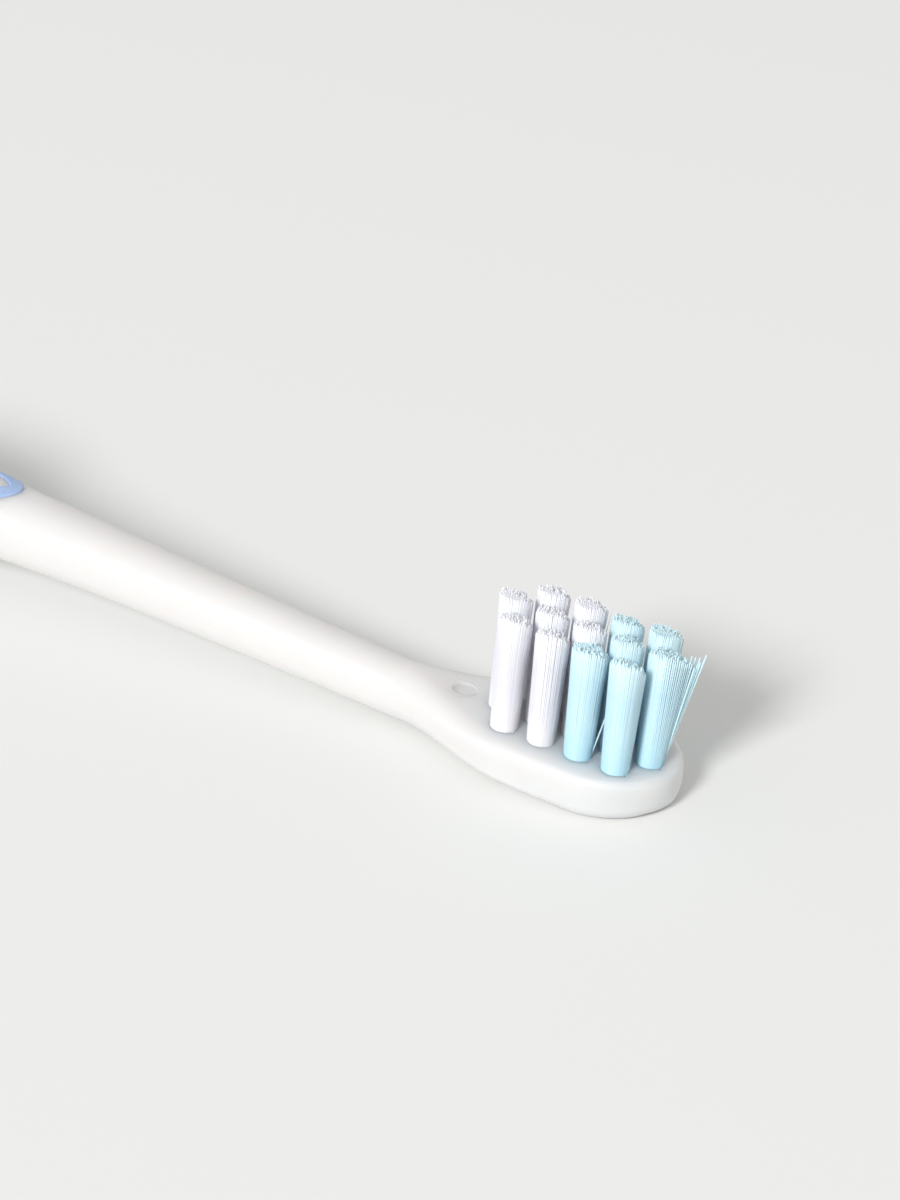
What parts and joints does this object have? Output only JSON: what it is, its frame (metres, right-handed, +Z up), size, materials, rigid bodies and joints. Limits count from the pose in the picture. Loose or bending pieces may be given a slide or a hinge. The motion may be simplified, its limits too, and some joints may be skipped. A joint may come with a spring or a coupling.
{
  "type": "manual toothbrush",
  "caption": "Compact manual toothbrush with a small head of white and pale blue bristle tufts, a slim white neck and a rounded handle with a soft blue thumb ring.",
  "frame": {"origin": "middle of the brush's length and width, on the surface that it lies on", "axes": "+X runs along the brush towards the head's tip, +Y across to the far side, +Z up out of the bristles' side"},
  "size_m": [0.161, 0.0116, 0.0135],
  "materials": {
    "white_plastic": "moulded white polypropylene, satin gloss",
    "blue_soft_grip": "matt blue thermoplastic elastomer",
    "white_bristle": "fine white tapered nylon filaments",
    "blue_bristle": "fine pale blue tapered nylon filaments",
    "anchor_brass": "plain stamped brass plate"
  },
  "bodies": {
    "root": {"handle_core": "white_plastic", "thumb_ring": "blue_soft_grip", "tuft_near_1": "white_bristle", "tuft_near_2": "white_bristle", "tuft_near_3": "blue_bristle", "tuft_near_4": "blue_bristle", "tuft_middle_1": "white_bristle", "tuft_middle_2": "white_bristle", "tuft_middle_3": "white_bristle", "tuft_middle_4": "blue_bristle", "tuft_middle_5": "blue_bristle", "tuft_far_1": "white_bristle", "tuft_far_2": "white_bristle", "tuft_far_3": "blue_bristle", "tuft_far_4": "blue_bristle", "anchor_near_1": "anchor_brass", "anchor_near_2": "anchor_brass", "anchor_near_3": "anchor_brass", "anchor_near_4": "anchor_brass", "anchor_middle_1": "anchor_brass", "anchor_middle_2": "anchor_brass", "anchor_middle_3": "anchor_brass", "anchor_middle_4": "anchor_brass", "anchor_middle_5": "anchor_brass", "anchor_far_1": "anchor_brass", "anchor_far_2": "anchor_brass", "anchor_far_3": "anchor_brass", "anchor_far_4": "anchor_brass"}
  },
  "joints": []
}
